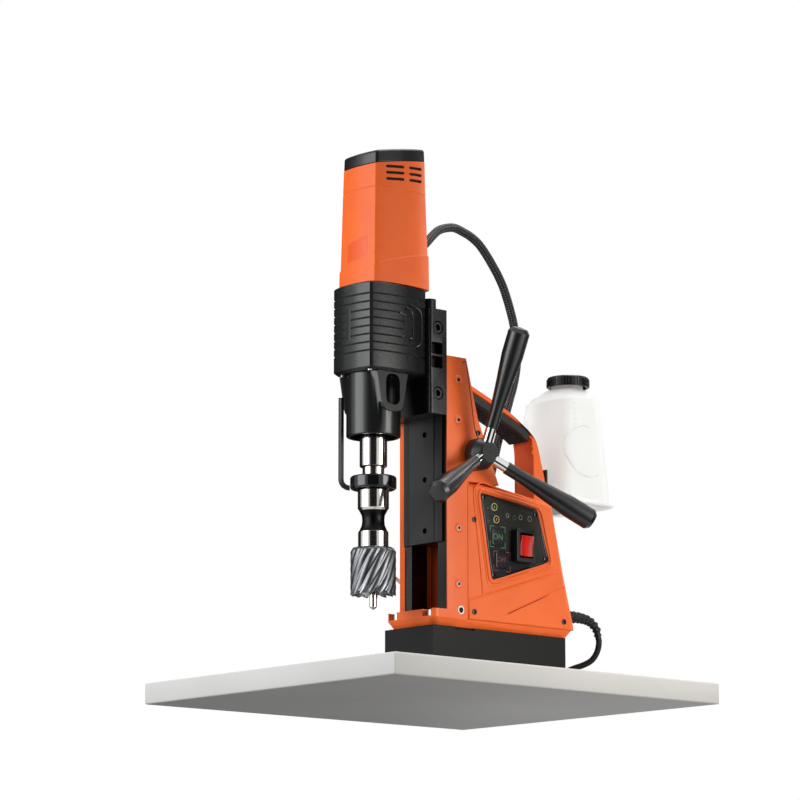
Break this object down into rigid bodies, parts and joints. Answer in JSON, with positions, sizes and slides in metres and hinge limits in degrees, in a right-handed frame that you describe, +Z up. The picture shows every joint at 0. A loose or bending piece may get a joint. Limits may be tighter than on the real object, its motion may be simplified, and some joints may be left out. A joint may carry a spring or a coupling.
{
  "type": "magnetic drill press",
  "caption": "Portable drill press on an electromagnet base, with a rack-fed drill unit, annular cutter, capstan arms, control panel, carry handle and coolant bottle.",
  "frame": {"origin": "centre of the magnet's underside", "axes": "+Z up, -Y to the front (the drill unit), +X to the right (the control panel and the capstan)"},
  "size_m": [0.2981, 0.3773, 0.5856],
  "materials": {
    "black_steel": "satin black",
    "black_casting": "satin black enamel on a light casting",
    "orange_casting": "orange enamel on a light casting",
    "orange_plastic": "moulded, fine texture",
    "winding": "copper winding, potted",
    "bright_steel": "polished",
    "chrome_rod": "polished",
    "ground_steel": "ground",
    "bronze": "turned",
    "grip_plastic": "moulded",
    "panel_plastic": "printed film",
    "board": "laminate",
    "key_on": "soft key",
    "key_off": "soft key",
    "black_plastic": "moulded",
    "red_plastic": "clear red",
    "rubber": "matt",
    "bottle_plastic": "milky, see-through",
    "hose_plastic": "clear"
  },
  "bodies": {
    "frame": {"magnet_yoke": "black_steel", "magnet_coil": "winding", "frame_casting": "orange_casting", "magnet_bolt_left": "bright_steel", "magnet_bolt_right": "bright_steel", "way_rail_left": "black_steel", "way_rail_right": "black_steel", "feed_bush": "bronze", "side_cover_left": "orange_plastic", "side_cover_right": "orange_plastic", "control_panel": "panel_plastic", "circuit_board": "board", "switch_bezel": "black_plastic", "carry_handle": "orange_casting", "handle_grip": "rubber", "coolant_bottle": "bottle_plastic", "bottle_bracket": "ground_steel", "bottle_tap": "black_plastic", "coolant_hose": "hose_plastic", "conduit_gland": "black_plastic", "motor_conduit": "rubber", "strain_relief": "rubber", "power_cord": "rubber", "plug": "rubber"},
    "slide": {"slide_bar": "black_steel", "rack": "ground_steel", "gear_case": "black_casting", "clamp_screw_lower": "ground_steel", "clamp_screw_upper": "ground_steel", "spindle_tube": "black_casting", "spindle_bearing_lower": "ground_steel", "spindle_bearing_upper": "ground_steel", "motor_housing": "orange_plastic", "motor_cap": "black_plastic", "armature_bearing": "ground_steel", "stator": "winding", "coolant_ring": "black_casting", "ring_arm": "black_steel", "motor_gland": "rubber"},
    "spindle": {"spindle": "bright_steel", "arbor": "bright_steel", "annular_cutter": "ground_steel", "spindle_gear": "ground_steel"},
    "pilot": {"pilot_pin": "bright_steel"},
    "idler": {"idler_gear": "ground_steel"},
    "armature": {"armature": "ground_steel"},
    "capstan": {"pinion_shaft": "ground_steel", "capstan_hub": "black_steel", "arm_rod_1": "chrome_rod", "arm_grip_1": "grip_plastic", "arm_rod_2": "chrome_rod", "arm_grip_2": "grip_plastic", "arm_rod_3": "chrome_rod", "arm_grip_3": "grip_plastic"},
    "rocker": {"rocker": "red_plastic"},
    "on_key": {"on_key": "key_on"},
    "off_key": {"off_key": "key_off"},
    "mode_key": {"mode_key": "panel_plastic"},
    "speed_key": {"speed_key": "panel_plastic"},
    "bottle_cap": {"bottle_cap": "black_plastic"}
  },
  "joints": [
    {"name": "slide_feed", "type": "slide", "parent": "frame", "child": "slide", "axis": [0, 0, 1], "range_m": [-0.062, 0.09], "deforming": ["motor_conduit", "coolant_hose"]},
    {"name": "capstan_turn", "type": "hinge", "parent": "frame", "child": "capstan", "pos_m": [0.045, -0.039, 0.243], "axis": [1, 0, 0], "range_deg": [-383, 264]},
    {"name": "armature_spin", "type": "hinge", "parent": "slide", "child": "armature", "pos_m": [0, -0.136, 0.4233], "axis": [0, 0, 1], "continuous": true},
    {"name": "idler_spin", "type": "hinge", "parent": "slide", "child": "idler", "pos_m": [-0.01653, -0.13301, 0.3391], "axis": [0, 0, 1], "continuous": true},
    {"name": "spindle_spin", "type": "hinge", "parent": "slide", "child": "spindle", "pos_m": [0, -0.1515, 0.2221], "axis": [0, 0, 1], "continuous": true},
    {"name": "pilot_slide", "type": "slide", "parent": "spindle", "child": "pilot", "axis": [0, 0, 1], "range_m": [0, 0.0155], "stiffness_N_per_m": 600, "springref_m": -0.004},
    {"name": "rocker_tilt", "type": "hinge", "parent": "frame", "child": "rocker", "pos_m": [0.048, 0.031, 0.1473], "axis": [0, -1, 0], "range_deg": [0, 18]},
    {"name": "on_key_press", "type": "slide", "parent": "frame", "child": "on_key", "axis": [-1, 0, 0], "range_m": [0, 0.0006], "stiffness_N_per_m": 1500, "springref_m": -0.0002},
    {"name": "off_key_press", "type": "slide", "parent": "frame", "child": "off_key", "axis": [-1, 0, 0], "range_m": [0, 0.0006], "stiffness_N_per_m": 1500, "springref_m": -0.0002},
    {"name": "mode_key_press", "type": "slide", "parent": "frame", "child": "mode_key", "axis": [-1, 0, 0], "range_m": [0, 0.0006], "stiffness_N_per_m": 1500, "springref_m": -0.0002},
    {"name": "speed_key_press", "type": "slide", "parent": "frame", "child": "speed_key", "axis": [-1, 0, 0], "range_m": [0, 0.0006], "stiffness_N_per_m": 1500, "springref_m": -0.0002},
    {"name": "bottle_cap_lift", "type": "slide", "parent": "frame", "child": "bottle_cap", "axis": [0, 0, 1], "range_m": [0, 0.05]}
  ],
  "couplings": [
    {"joint": "capstan_turn", "follows": "slide_feed", "rad_per_m": -74.074},
    {"joint": "idler_spin", "follows": "armature_spin", "ratio": -0.23529},
    {"joint": "spindle_spin", "follows": "armature_spin", "ratio": 0.056471}
  ]
}
